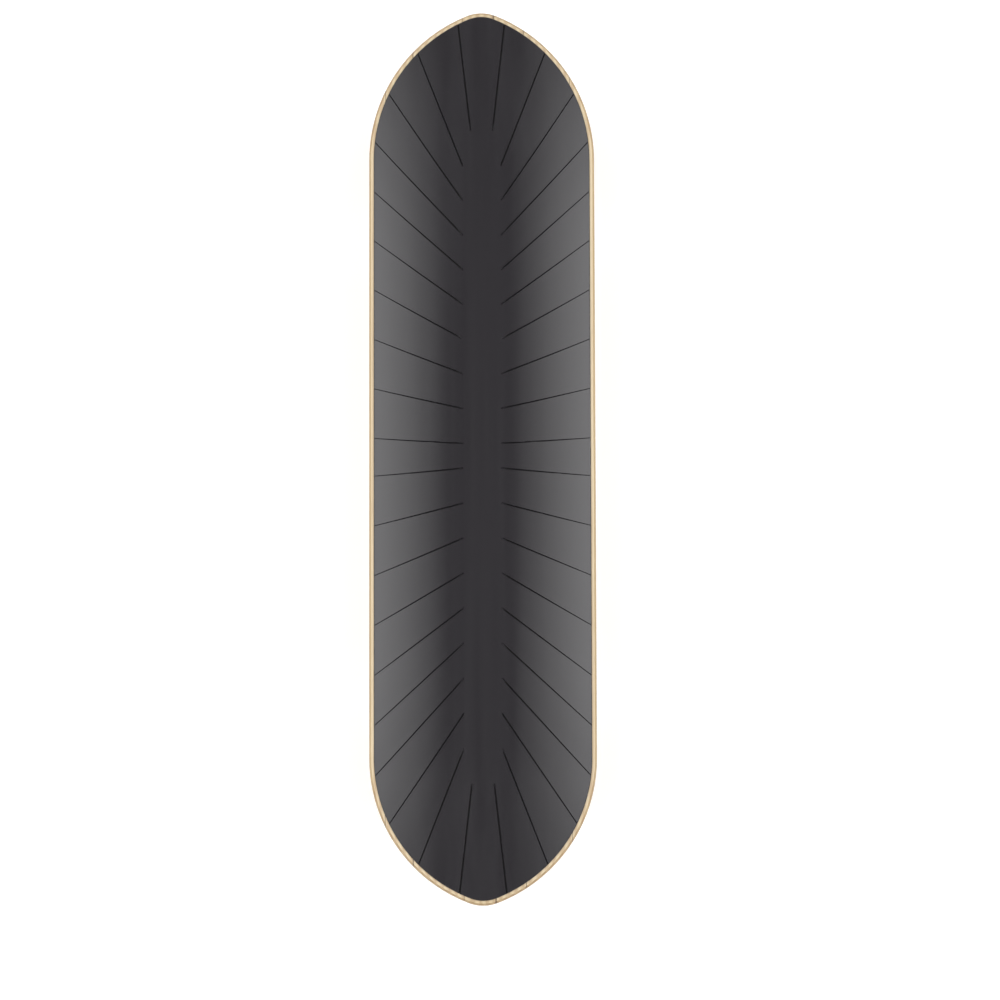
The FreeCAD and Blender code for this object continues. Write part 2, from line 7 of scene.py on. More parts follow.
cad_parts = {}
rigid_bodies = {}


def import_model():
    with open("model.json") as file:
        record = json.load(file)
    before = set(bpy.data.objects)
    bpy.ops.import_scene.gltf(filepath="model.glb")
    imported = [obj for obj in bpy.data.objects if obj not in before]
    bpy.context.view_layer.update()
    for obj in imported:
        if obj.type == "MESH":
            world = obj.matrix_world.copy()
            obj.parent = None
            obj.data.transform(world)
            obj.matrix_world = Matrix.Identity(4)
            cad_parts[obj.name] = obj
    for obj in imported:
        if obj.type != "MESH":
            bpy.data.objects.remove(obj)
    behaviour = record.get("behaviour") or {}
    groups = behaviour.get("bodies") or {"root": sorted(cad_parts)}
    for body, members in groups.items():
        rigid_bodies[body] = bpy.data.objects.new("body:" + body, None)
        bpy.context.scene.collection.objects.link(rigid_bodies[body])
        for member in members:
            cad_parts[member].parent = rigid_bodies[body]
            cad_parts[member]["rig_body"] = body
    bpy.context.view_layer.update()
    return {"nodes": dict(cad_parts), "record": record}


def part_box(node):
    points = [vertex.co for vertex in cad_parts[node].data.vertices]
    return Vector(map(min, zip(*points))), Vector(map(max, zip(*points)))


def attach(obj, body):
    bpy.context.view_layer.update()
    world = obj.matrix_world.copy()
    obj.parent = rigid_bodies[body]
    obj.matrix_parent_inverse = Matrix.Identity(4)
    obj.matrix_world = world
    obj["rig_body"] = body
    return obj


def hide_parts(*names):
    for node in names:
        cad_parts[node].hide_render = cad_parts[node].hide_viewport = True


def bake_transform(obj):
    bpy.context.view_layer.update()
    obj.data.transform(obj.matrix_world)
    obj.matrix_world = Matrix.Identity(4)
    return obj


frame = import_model()
print("frame loaded")


class Wire:     # the output of a shader node; sums on it add Math nodes
    def __init__(self, finish, socket):
        self.finish = finish
        self.socket = socket

    def __add__(self, other):
        return self.finish.calc("ADD", self, other)

    def __radd__(self, other):
        return self.finish.calc("ADD", other, self)

    def __sub__(self, other):
        return self.finish.calc("SUBTRACT", self, other)

    def __rsub__(self, other):
        return self.finish.calc("SUBTRACT", other, self)

    def __mul__(self, other):
        return self.finish.calc("MULTIPLY", self, other)

    def __rmul__(self, other):
        return self.finish.calc("MULTIPLY", other, self)


class Finish:   # one material under construction
    def __init__(self, name):
        self.material = bpy.data.materials.new(name)
        self.material.use_nodes = True
        self.tree = self.material.node_tree
        self.tree.nodes.clear()

    def add(self, kind, settings, inputs, output=0):
        node = self.tree.nodes.new(kind)
        for key, value in settings.items():
            setattr(node, key, value)
        for key, value in inputs.items():
            if isinstance(value, Wire):
                self.tree.links.new(value.socket, node.inputs[key])
            else:
                node.inputs[key].default_value = value
        return Wire(self, node.outputs[output]) if node.outputs else None

    def calc(self, operation, *values):
        return self.add("ShaderNodeMath", {"operation": operation}, dict(enumerate(values)))

    def coords(self, scale, turn=(0, 0, 0)):
        spot = self.add("ShaderNodeTexCoord", {}, {}, "Object")
        return self.add("ShaderNodeMapping", {}, {"Vector": spot, "Scale": scale, "Rotation": turn})

    def noise(self, scale, detail=4.0, rough=0.5, turn=(0, 0, 0)):
        return self.add("ShaderNodeTexNoise", {}, {
            "Vector": self.coords(scale, turn), "Scale": 1.0, "Detail": detail, "Roughness": rough})

    def axis(self, name):
        spot = self.add("ShaderNodeTexCoord", {}, {}, "Object")
        return self.add("ShaderNodeSeparateXYZ", {}, {"Vector": spot}, name)

    def step(self, value, low, high, start=0.0, end=1.0):
        return self.add("ShaderNodeMapRange", {"interpolation_type": "SMOOTHSTEP"}, {
            "Value": value, "From Min": low, "From Max": high, "To Min": start, "To Max": end})

    def mix(self, factor, first, second, blend="MIX"):
        first = first if isinstance(first, Wire) else (*first, 1)
        second = second if isinstance(second, Wire) else (*second, 1)
        return self.add("ShaderNodeMix", {"data_type": "RGBA", "blend_type": blend}, {
            0: factor, 6: first, 7: second}, 2)

    def bump(self, height, distance, strength=1.0):
        return self.add("ShaderNodeBump", {}, {
            "Height": height, "Distance": distance, "Strength": strength})

    def close(self, **sockets):
        sockets = {key.replace("_", " "): value for key, value in sockets.items()}
        shader = self.add("ShaderNodeBsdfPrincipled", {}, sockets)
        self.add("ShaderNodeOutputMaterial", {}, {"Surface": shader})
        return self.material


def sheetFinish():
    look = {
        "dark": (0.0106, 0.0083, 0.0117), "light": (0.0142, 0.0120, 0.0155), "rough": 0.20,
        # the groove colour is painted shade: near black in place of the grooves' shadow
        "groove": (0.0015, 0.0013, 0.0014), "grooveRough": 0.5,
    }
    finish = Finish("blackSheet")
    groove = finish.add("ShaderNodeAttribute", {"attribute_name": "groove"}, {}, "Fac")
    groove = finish.step(groove, 0.0, 0.6)      # painted shade mask: 1 in the grooves and round the cut edge
    fibre = finish.noise((9, 900, 300), detail=5.0, rough=0.6)
    band = finish.noise((1.6, 70, 40), detail=3.0)
    tone = finish.mix(finish.step(fibre * 0.6 + band * 0.4, 0.35, 0.65), look["dark"], look["light"])
    # painted shade: the grooves and the cut edge take the near-black colour
    tone = finish.mix(groove, tone, look["groove"])
    rough = finish.step(band, 0.3, 0.7, look["rough"] - 0.01, look["rough"] + 0.02)
    rough = rough + groove * look["grooveRough"]
    return finish.close(Base_Color=tone, Roughness=rough, IOR=1.55, Coat_Weight=0.9 - groove * 0.9,
                        Coat_Roughness=0.2, Normal=finish.bump(fibre, 0.00002, 0.5))


def mapleFinish(name, tint, seed):
    look = {
        "pale": (0.80, 0.65, 0.42), "deep": (0.62, 0.45, 0.26), "seam": (0.16, 0.09, 0.045),
        "edge": (0.80, 0.74, 0.64),     # painted shade: the rim is darker where its surface turns away from upright
        "staves": ((-0.0792, 0.0005), (-0.0379, 0.0006), (-0.0110, 0.0012), (0.0168, 0.0004),
                   (0.0616, 0.0008), (0.0867, 0.0005)),     # place and width of each lengthwise joint
    }
    finish = Finish(name)
    drift = finish.noise((4, 30, 30), detail=2.0)
    fibre = finish.noise((14, 1100, 1100), detail=5.0, rough=0.65, turn=(0, 0, 0.004 * seed))
    pore = finish.noise((60, 2600, 2600), detail=2.0)
    bands = finish.add("ShaderNodeTexWave", {"bands_direction": "Y"}, {
        "Vector": finish.coords((0.9, 11, 11)), "Scale": 2.2 + 0.3 * seed, "Distortion": 5.0,
        "Detail": 3.0, "Detail Scale": 0.8}, "Fac")
    grain = finish.step(fibre * 0.55 + bands * 0.3 + drift * 0.15, 0.30, 0.72)
    tone = finish.mix(grain, look["pale"], look["deep"])
    lateral = finish.axis("Y") + (drift - 0.5) * 0.002
    joint = 0.0
    for place, width in look["staves"]:
        apart = finish.calc("ABSOLUTE", lateral - place)
        joint = finish.calc("MAXIMUM", joint, finish.step(apart, width * 0.25, width, 0.85, 0.0))
    tone = finish.mix(joint, tone, look["seam"])
    tone = finish.mix(finish.step(pore, 0.62, 0.75, 0.0, 0.25), tone, look["deep"])
    tone = finish.mix(1.0, tone, tint, "MULTIPLY")
    # painted shade: where the normal leans away from upright, round the rim, the tone is darkened
    normal = finish.add("ShaderNodeNewGeometry", {}, {}, "Normal")
    upright = finish.calc("ABSOLUTE", finish.add("ShaderNodeSeparateXYZ", {}, {"Vector": normal}, "Z"))
    edge = finish.mix(1.0, tone, look["edge"], "MULTIPLY")
    tone = finish.mix(finish.step(upright, 0.74, 0.93), edge, tone)
    rough = finish.step(fibre, 0.3, 0.7, 0.38, 0.5)
    return finish.close(Base_Color=tone, Roughness=rough, IOR=1.5, Coat_Weight=0.3, Coat_Roughness=0.25,
                        Normal=finish.bump(fibre, 0.00003, 0.4))


def castFinish():
    look = {"dull": (0.50, 0.51, 0.52), "bright": (0.70, 0.71, 0.72), "dust": (0.36, 0.36, 0.36)}
    finish = Finish("castAluminium")
    grit = finish.noise((1400, 1400, 1400), detail=3.0)
    cloud = finish.noise((45, 45, 45), detail=3.0)
    stain = finish.noise((160, 160, 160), detail=4.0, rough=0.7)
    tone = finish.mix(cloud, look["dull"], look["bright"])
    tone = finish.mix(finish.step(stain, 0.52, 0.72, 0.0, 0.45), tone, look["dust"])
    rough = finish.step(cloud + stain, 0.7, 1.3, 0.34, 0.52)
    return finish.close(Base_Color=tone, Metallic=1.0, Roughness=rough,
                        Normal=finish.bump(grit * 0.7 + stain * 0.3, 0.00012, 0.5))


def steelFinish(name, color, rough):
    finish = Finish(name)
    turning = finish.noise((300, 4000, 300), detail=3.0)
    cloud = finish.noise((120, 120, 120), detail=3.0)
    smear = finish.noise((420, 420, 420), detail=4.0, rough=0.7)
    tone = finish.mix(cloud, color, tuple(c * 0.82 for c in color))
    tone = finish.mix(finish.step(smear, 0.55, 0.75, 0.0, 0.35), tone, tuple(c * 0.6 for c in color))
    polish = finish.step(cloud * 0.5 + turning * 0.5, 0.3, 0.7, rough - 0.06, rough + 0.08)
    return finish.close(Base_Color=tone, Metallic=1.0, Roughness=polish,
                        Normal=finish.bump(turning, 0.00001, 0.4))


def urethaneFinish(name, color, rough, soft=0.3):
    finish = Finish(name)
    cloud = finish.noise((60, 60, 60), detail=4.0)
    scuff = finish.noise((260, 40, 260), detail=5.0, rough=0.7)
    fine = finish.noise((1500, 1500, 1500), detail=2.0)
    tone = finish.mix(cloud, color, tuple(c * 0.93 for c in color))
    tone = finish.mix(finish.step(scuff, 0.56, 0.74, 0.0, 0.3), tone, tuple(c * 0.7 for c in color))
    worn = finish.step(cloud + scuff, 0.7, 1.3, rough - 0.05, rough + 0.1)
    return finish.close(Base_Color=tone, Roughness=worn, IOR=1.5,
                        Subsurface_Weight=soft, Subsurface_Radius=(0.004, 0.003, 0.002),
                        Normal=finish.bump(fine * 0.6 + scuff * 0.4, 0.00003, 0.5))


def rubberFinish(name, color, rough=0.6):
    finish = Finish(name)
    fine = finish.noise((1800, 1800, 1800), detail=3.0)
    bloom = finish.noise((90, 90, 90), detail=4.0)
    tone = finish.mix(fine, color, tuple(c * 0.8 for c in color))
    tone = finish.mix(finish.step(bloom, 0.5, 0.75, 0.0, 0.25), tone, tuple(c * 2.4 for c in color))
    dull = finish.step(fine, 0.3, 0.7, rough - 0.05, rough + 0.08)
    return finish.close(Base_Color=tone, Roughness=dull, Normal=finish.bump(fine, 0.00004, 0.5))


finishes = {
    "black_sheet": sheetFinish(),
    "riser_rubber": rubberFinish("riserRubber", (0.018, 0.018, 0.019)),
    "cast_aluminium": castFinish(),
    "pivot_cup_urethane": urethaneFinish("pivotCup", (0.70, 0.67, 0.58), 0.4),
    "axle_steel": steelFinish("axleSteel", (0.50, 0.50, 0.51), 0.30),
    "bolt_steel": steelFinish("boltSteel", (0.26, 0.26, 0.27), 0.38),
    "zinc_steel": steelFinish("zincSteel", (0.66, 0.66, 0.65), 0.28),
    "bushing_urethane": urethaneFinish("bushingUrethane", (0.62, 0.55, 0.40), 0.35),
    "black_screw": steelFinish("blackScrew", (0.035, 0.035, 0.037), 0.40),
    "wheel_urethane": urethaneFinish("wheelUrethane", (0.76, 0.73, 0.65), 0.36),
    "bearing_steel": steelFinish("bearingSteel", (0.72, 0.72, 0.73), 0.16),
    "nylon_cage": urethaneFinish("nylonCage", (0.72, 0.70, 0.62), 0.5),
    "shield_steel": steelFinish("shieldSteel", (0.45, 0.45, 0.46), 0.32),
    "spacer_aluminium": steelFinish("spacerAluminium", (0.75, 0.75, 0.76), 0.34),
}
plyTints = {    # the plies between the faces are darker where they show at the rim
    "ply_1": (0.98, 0.96, 0.93), "ply_2": (0.90, 0.84, 0.78), "ply_3": (0.74, 0.64, 0.55),
    "ply_4": (0.94, 0.90, 0.85), "ply_5": (0.84, 0.77, 0.69), "ply_6": (0.95, 0.92, 0.88),
    "ply_7": (1.0, 1.0, 1.0),
}
slotOf = {entry["node"]: entry["material_slot"] for entry in frame["record"]["subparts"]}
for name, node in frame["nodes"].items():
    if name in plyTints:
        material = mapleFinish("maple_" + name, plyTints[name], int(name[-1]))
    else:
        material = finishes[slotOf[name]]
    node.data.materials.clear()
    node.data.materials.append(material)
print("CAD nodes finished")


def makePiece(name, bm, replaced, smoothAngle=32, rides=True):
    for face in bm.faces:
        face.smooth = True
    for edge in bm.edges:
        if len(edge.link_faces) == 2:
            edge.smooth = edge.calc_face_angle(0) < math.radians(smoothAngle)
    mesh = bpy.data.meshes.new(name)
    bm.to_mesh(mesh)
    bm.free()
    mesh.materials.append(finishes[slotOf[replaced[0]]])
    piece = bpy.data.objects.new(name, mesh)
    bpy.context.collection.objects.link(piece)
    if rides:
        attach(piece, frame["nodes"][replaced[0]]["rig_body"])
    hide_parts(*replaced)
    return piece


def pieceName(node):    # axle_nuts_front becomes axleNutsFront
    words = node.split("_")
    return words[0] + "".join(word.capitalize() for word in words[1:])


def solidCopy(node):    # the CAD node's own surface, its loose triangles joined up
    bm = bmesh.new()
    bm.from_mesh(frame["nodes"][node].data)
    bmesh.ops.remove_doubles(bm, verts=bm.verts, dist=2e-6)
    return bm


def machined(node, rounding, flatAngle=1.0, sharpAngle=35.0):
    bm = solidCopy(node)
    bmesh.ops.dissolve_limit(bm, angle_limit=math.radians(flatAngle), verts=bm.verts, edges=bm.edges)
    sharp = []
    for edge in bm.edges:
        if len(edge.link_faces) == 2 and edge.calc_face_angle(0) > math.radians(sharpAngle):
            sharp.append(edge)
    bmesh.ops.bevel(bm, geom=sharp, offset=rounding, segments=2, profile=0.5,
                    affect="EDGES", material=-1)
    return makePiece(pieceName(node), bm, [node])


def softened(node, grain, rounds):      # an even skin over the casting, with its corners worn round
    piece = makePiece(pieceName(node), solidCopy(node), [node])
    skin = piece.modifiers.new("skin", "REMESH")
    skin.mode = "VOXEL"
    skin.voxel_size = grain
    corners = piece.modifiers.new("corners", "SMOOTH")
    corners.factor = 0.5
    corners.iterations = rounds
    bpy.context.view_layer.update()
    ready = piece.evaluated_get(bpy.context.evaluated_depsgraph_get())
    mesh = bpy.data.meshes.new_from_object(ready)
    piece.modifiers.clear()
    piece.data = mesh
    mesh.polygons.foreach_set("use_smooth", [True] * len(mesh.polygons))
    return piece


def turned(profile, steps=64, segments=4):
    # profile: corners (radius, along, rounding) of a closed outline, spun about Z
    bm = bmesh.new()
    corners = [bm.verts.new((radius, 0, along)) for radius, along, rounding in profile]
    bm.faces.new(corners)
    for corner, (radius, along, rounding) in zip(corners, profile):
        if rounding:
            bmesh.ops.bevel(bm, geom=[corner], offset=rounding, segments=segments, profile=0.5,
                            affect="VERTICES", material=-1)
    bmesh.ops.delete(bm, geom=bm.faces[:], context="FACES_ONLY")
    bmesh.ops.spin(bm, geom=bm.verts[:] + bm.edges[:], cent=(0, 0, 0), axis=(0, 0, 1),
                   dvec=(0, 0, 0), angle=2 * math.pi, steps=steps, space=Matrix.Identity(4),
                   use_merge=True, use_duplicate=False)
    bmesh.ops.remove_doubles(bm, verts=bm.verts, dist=1e-6)
    bmesh.ops.dissolve_degenerate(bm, dist=1e-7, edges=bm.edges[:])
    bmesh.ops.recalc_face_normals(bm, faces=bm.faces)
    return bm


def placed(bm, center, direction):      # Z of the piece goes to direction, its origin to center
    turn = Vector((0, 0, 1)).rotation_difference(Vector(direction)).to_matrix().to_4x4()
    bm.transform(Matrix.Translation(center) @ turn)
    return bm


def joined(parts):
    whole = bmesh.new()
    for part in parts:
        mesh = bpy.data.meshes.new("part")
        part.to_mesh(mesh)
        part.free()
        whole.from_mesh(mesh)
        bpy.data.meshes.remove(mesh)
    return whole


def topSheet():
    size = {
        "sideArc": 0.1336, "tipArc": 0.0316,        # radii of the outline's end arcs
        "sideSteps": 40, "tipSteps": 8,
        "thickness": 0.0016, "edgeRound": 0.0005, "edgeSteps": 3,
        "pliesBelow": 0.006,        # from the middle ply's lower face to the sheet, on the spine
        "grooveWidth": 0.0016, "grooveDepth": 0.0011, "grooves": 10,
        "outerShare": 0.42, "outerGrowth": 4,       # the last grooves hardly narrow at all
        "innerFirst": 0.0112, "innerTipGap": 0.1015, "spine": 0.017, "lastOffset": 0.0099,
        "outerFirst": 0.017, "outerTipGap": 0.022, "noseward": 0.0021,     # shift of the inner ends
        "kickStart": 0.24696, "kickAngle": 13.0, "kickBend": 0.190,
        "concave": 0.010, "concaveEnd": 0.55, "fadeStart": 0.198, "fadeSoft": 0.025,
        "boardHalfWidth": 0.1016, "boardHalfLength": 0.40005, "stepsX": 110, "stepsY": 36,
    }
    reach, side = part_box("top_sheet")[1][:2]
    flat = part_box("ply_4")[0][2] + size["pliesBelow"] + size["thickness"]       # its top, on the spine
    off = size["sideArc"] - side
    toTip = math.sqrt((size["sideArc"] - size["tipArc"]) ** 2 - off ** 2)
    spring = reach - size["tipArc"] - toTip
    join = math.atan2(off, toTip)
    tipRun = size["tipArc"] * join
    arcRun = size["sideArc"] * (math.pi / 2 - join)

    def outlinePoint(run):      # on the first quarter of the outline, run metres from the tip
        if run < tipRun:
            angle = run / size["tipArc"]
            return Vector((reach - size["tipArc"] * (1 - math.cos(angle)),
                           size["tipArc"] * math.sin(angle), 0))
        if run < tipRun + arcRun:
            angle = join + (run - tipRun) / size["sideArc"]
            return Vector((spring + size["sideArc"] * math.cos(angle),
                           size["sideArc"] * math.sin(angle) - off, 0))
        return Vector((spring - (run - tipRun - arcRun), side, 0))

    def rise(x, y):
        lean = math.radians(size["kickAngle"])
        run = max(abs(x) - size["kickStart"], 0)
        bendRun = size["kickBend"] * math.sin(lean)
        if run < bendRun:
            kick = size["kickBend"] - math.sqrt(size["kickBend"] ** 2 - run ** 2)
        else:
            kick = size["kickBend"] * (1 - math.cos(lean)) + (run - bendRun) * math.tan(lean)
        share = max(abs(y) - size["spine"], 0) / (size["boardHalfWidth"] - size["spine"])
        past = abs(x) - size["fadeStart"]
        past = (past + math.hypot(past, size["fadeSoft"])) / 2      # eases into the fade
        fade = past / (size["boardHalfLength"] - size["fadeStart"])
        return kick + size["concave"] * share ** 2 * (1 - (1 - size["concaveEnd"]) * fade)

    def spinOn(bm, vert, center, angle, steps):
        made = bmesh.ops.spin(bm, geom=[vert], cent=center, axis=(0, 0, 1), dvec=(0, 0, 0),
                              angle=angle, steps=steps, space=Matrix.Identity(4), use_duplicate=False)
        return [item for item in made["geom_last"] if isinstance(item, bmesh.types.BMVert)][0]

    def cut(bm, faces, point, normal):
        parts = set(faces)
        for face in faces:
            parts.update(face.edges)
            parts.update(face.verts)
        bmesh.ops.bisect_plane(bm, geom=list(parts), plane_co=point, plane_no=normal, dist=1e-6)

    bm = bmesh.new()        # one quarter of the outline, then mirrored twice
    corner = bm.verts.new((reach, 0, 0))
    corner = spinOn(bm, corner, (reach - size["tipArc"], 0, 0), join, size["tipSteps"])
    corner = spinOn(bm, corner, (spring, -off, 0), math.pi / 2 - join, size["sideSteps"])
    bm.edges.new((corner, bm.verts.new((0, side, 0))))
    for axis in ("X", "Y"):
        bmesh.ops.mirror(bm, geom=bm.verts[:] + bm.edges[:], matrix=Matrix.Identity(4),
                         merge_dist=1e-5, axis=axis)
    bmesh.ops.remove_doubles(bm, verts=bm.verts, dist=1e-5)
    bmesh.ops.contextual_create(bm, geom=bm.edges[:])
    for face in bm.faces:
        if face.normal.z < 0:
            face.normal_flip()
    made = bmesh.ops.extrude_face_region(bm, geom=bm.faces[:])
    lifted = [item for item in made["geom"] if isinstance(item, bmesh.types.BMVert)]
    bmesh.ops.translate(bm, verts=lifted, vec=(0, 0, size["thickness"]))
    bmesh.ops.recalc_face_normals(bm, faces=bm.faces)
    rim = [edge for edge in bm.edges if all(v.co.z > size["thickness"] / 2 for v in edge.verts)]
    bmesh.ops.bevel(bm, geom=rim, offset=size["edgeRound"], segments=size["edgeSteps"],
                    profile=0.5, affect="EDGES", material=-1)
    for i in range(1, size["stepsX"]):
        cut(bm, bm.faces[:], (reach * (2 * i / size["stepsX"] - 1), 0, 0), (1, 0, 0))
    for i in range(1, size["stepsY"]):
        cut(bm, bm.faces[:], (0, side * (2 * i / size["stepsY"] - 1), 0), (0, 1, 0))
    for hand in (1, -1):
        cut(bm, bm.faces[:], (0, size["spine"] * hand, 0), (0, 1, 0))
    print("top sheet gridded", len(bm.faces))

    # a groove is cut across its inner end and along both sides and its middle, which then sinks
    sunk = {}
    half = size["grooveWidth"] / 2
    # this layer holds painted shade: 1 in the grooves and round the cut edge
    shade = bm.verts.layers.float.new("groove")

    def cutGroove(start, stop, narrowing):
        length = (stop - start).length
        along = (stop - start) / length
        across = Vector((-along.y, along.x, 0))

        def nearby(aside, before):
            found = []
            for face in bm.faces:
                spots = [vert.co - start for vert in face.verts]
                if max(vert.co.z for vert in face.verts) < size["thickness"] * 0.6:
                    continue        # on the underside
                ways = [spot.dot(across) for spot in spots]
                if max(spot.dot(along) for spot in spots) > -before and -aside < max(ways):
                    if min(ways) < aside:
                        found.append(face)
            return found

        cut(bm, nearby(half, 0.0001), start, along)
        for hand in (-1, 0, 1):
            near = start + across * half * hand
            far = stop + across * half * hand * narrowing
            line = (far - near).normalized()
            cut(bm, nearby(half + 1e-5, -1e-6), near, (-line.y, line.x, 0))
        for vert in bm.verts:
            ahead = (vert.co - start).dot(along)
            aside = abs((vert.co - start).dot(across))
            if aside < 2e-6 and ahead > half and vert.co.z > size["thickness"] * 0.3:
                sunk[vert] = 1 - (1 - narrowing) * min(ahead / length, 1)

    last = size["grooves"] - 1
    innerPitch = (reach - size["innerTipGap"] - size["innerFirst"]) / last
    outerPitch = (tipRun + arcRun + spring - size["outerTipGap"] - size["outerFirst"]) / last
    for index in range(size["grooves"]):
        offset = size["lastOffset"] if index == last else size["spine"]
        inner = Vector((size["innerFirst"] + index * innerPitch, offset, 0))
        outer = outlinePoint(size["outerTipGap"] + (last - index) * outerPitch)
        growth = (index / last) ** size["outerGrowth"]
        narrowing = size["outerShare"] + (1 - size["outerShare"]) * growth
        for end in (1, -1):
            for hand in (1, -1):
                cutGroove(Vector((inner.x * end + size["noseward"], inner.y * hand, 0)),
                          Vector((outer.x * end, outer.y * hand, 0)), narrowing)
    for vert in bm.verts:       # painted shade: the cut edge gets the grooves' dark colour and dull finish, a dark line where the sheet meets the wood
        if vert.co.z < size["thickness"] - 1e-5:
            vert[shade] = 1
    # painted shade in the grooves, fainter towards their narrow outer ends
    for vert, share in sunk.items():
        vert.co.z = min(vert.co.z, size["thickness"]) - size["grooveDepth"] * share
        vert[shade] = share
    for vert in bm.verts:
        vert.co.z += flat - size["thickness"] + rise(vert.co.x, vert.co.y)
    bmesh.ops.remove_doubles(bm, verts=bm.verts, dist=1e-6)
    print("top sheet grooved", len(bm.faces))
    makePiece("topSheet", bm, ["top_sheet"], smoothAngle=8)


topSheet()


def threaded(radius, plain, reach, pitch, depth, chamfer=0.0006):
    # corners of a half rod: smooth to plain, then thread ridges out to its chamfered end
    corners = [(radius, plain, 0)]
    turns = int((reach - chamfer - plain) / pitch)
    for turn in range(turns):
        start = plain + turn * pitch
        corners.append((radius - depth, start + pitch * 0.4, 0))
        corners.append((radius, start + pitch * 0.9, 0))
    corners.append((radius, reach - chamfer, 0))
    corners.append((radius - chamfer, reach, 0))
    corners.append((0, reach, 0))
    return corners


def axles():
    size = {"threadFrom": 0.0875, "pitch": 0.00106, "depth": 0.00035, "steps": 48}
    for end in ("front", "rear"):
        node = "axle_" + end
        low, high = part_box(node)
        center = [(a + b) / 2 for a, b in zip(low, high)]
        half = (high[1] - low[1]) / 2
        rod = threaded((high[2] - low[2]) / 2, size["threadFrom"], half, size["pitch"], size["depth"])
        other = [(radius, -place, rounding) for radius, place, rounding in reversed(rod)]
        bm = placed(turned(other + rod, size["steps"]), center, (0, 1, 0))
        makePiece(pieceName(node), bm, [node], smoothAngle=50)


def kingpinFrame(end):      # middle of the hanger's ring, and the way down along the kingpin
    size = {"lean": 28.0, "ringOut": -0.018, "ringLift": 0.019}     # from the axle
    low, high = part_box("axle_" + end)
    hand = 1 if end == "front" else -1
    lean = math.radians(size["lean"])
    center = Vector(((low[0] + high[0]) / 2 + hand * size["ringOut"], 0,
                     (low[2] + high[2]) / 2 + size["ringLift"]))
    return center, Vector((-hand * math.sin(lean), 0, -math.cos(lean)))


def kingpins():
    size = {
        "radius": 0.00475, "head": 0.014, "headHeight": 0.0055, "headSeat": -0.027, "end": 0.0265,
        "threadFrom": 0.0135, "pitch": 0.00106, "depth": 0.0004, "rounding": 0.0004, "steps": 40,
    }
    for end in ("front", "rear"):
        center, down = kingpinFrame(end)
        rod = threaded(size["radius"], size["threadFrom"], size["end"], size["pitch"], size["depth"])
        rod.append((0, size["headSeat"] - size["headHeight"] / 2, 0))
        rod.append((size["radius"], size["headSeat"] - size["headHeight"] / 2, 0))
        head = bmesh.new()
        bmesh.ops.create_circle(head, cap_ends=True, radius=size["head"] / math.sqrt(3), segments=6)
        made = bmesh.ops.extrude_face_region(head, geom=head.faces[:])
        lifted = [item for item in made["geom"] if isinstance(item, bmesh.types.BMVert)]
        bmesh.ops.translate(head, verts=lifted, vec=(0, 0, size["headHeight"]))
        bmesh.ops.recalc_face_normals(head, faces=head.faces)
        bmesh.ops.bevel(head, geom=head.edges[:], offset=size["rounding"], segments=2, profile=0.5,
                        affect="EDGES", material=-1)
        bmesh.ops.translate(head, verts=head.verts, vec=(0, 0, size["headSeat"] - size["headHeight"]))
        bm = placed(joined([turned(rod, size["steps"]), head]), center, down)
        node = "kingpin_" + end
        makePiece(pieceName(node), bm, [node], smoothAngle=50)


def bushings():
    size = {
        "bore": 0.0048, "ringFace": 0.004, "boardHeight": 0.014, "boardRadius": 0.0125,
        "roadHeight": 0.011, "roadWide": 0.012, "roadNarrow": 0.0095, "rounding": 0.0014,
        "narrowRounding": 0.00084, "bulge": 0.0003, "rings": 10, "steps": 56,
        "washer": 0.0015, "washerRadius": 0.012, "washerStep": 0.0072,
        "boreEdge": 0.0002, "stepEdge": 0.001, "washerEdge": 0.0004,
    }
    face = size["ringFace"]
    worn = size["rounding"]
    boardTop = -face - size["boardHeight"]
    roadEnd = face + size["roadHeight"]
    board = [
        (size["bore"], boardTop, 0), (size["boardRadius"] - size["bulge"], boardTop, worn),
        (size["boardRadius"], (boardTop - face) / 2, worn),
        (size["boardRadius"] - size["bulge"], -face, worn), (size["bore"], -face, 0),
    ]
    road = [
        (size["bore"], face, 0), (size["roadWide"], face, worn),
        (size["roadNarrow"], roadEnd, size["narrowRounding"]), (size["bore"], roadEnd, 0),
    ]
    washers = []
    for end in ("front", "rear"):
        center, down = kingpinFrame(end)
        for name, profile, fixed in (("board", board, boardTop), ("road", road, roadEnd)):
            node = name + "_bushing_" + end
            loose = face if fixed > 0 else -face
            soft = turned(profile, size["steps"])
            for ring in range(1, size["rings"]):        # rings cut across its length
                place = fixed + (loose - fixed) * ring / size["rings"]
                bmesh.ops.bisect_plane(soft, geom=soft.verts[:] + soft.edges[:] + soft.faces[:],
                                       plane_co=(0, 0, place), plane_no=(0, 0, 1), dist=1e-6)
            piece = makePiece(pieceName(node), placed(soft, center, down), [node],
                              smoothAngle=50, rides=False)
            tuple(center + down * fixed)
            tuple(center + down * loose)
            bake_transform(piece)
        for start, outward in ((boardTop, -1), (roadEnd, 1)):
            inner, outer = sorted((start, start + outward * size["washer"]))
            washer = turned([
                (size["bore"], inner, size["boreEdge"]), (size["washerStep"], inner, size["stepEdge"]),
                (size["washerRadius"], inner, size["washerEdge"]),
                (size["washerRadius"], outer, size["washerEdge"]),
                (size["washerStep"], outer, size["stepEdge"]), (size["bore"], outer, size["boreEdge"]),
            ], size["steps"])
            washers.append(placed(washer, center, down))
    makePiece("cupWashers", joined(washers), ["cup_washers"], smoothAngle=50)


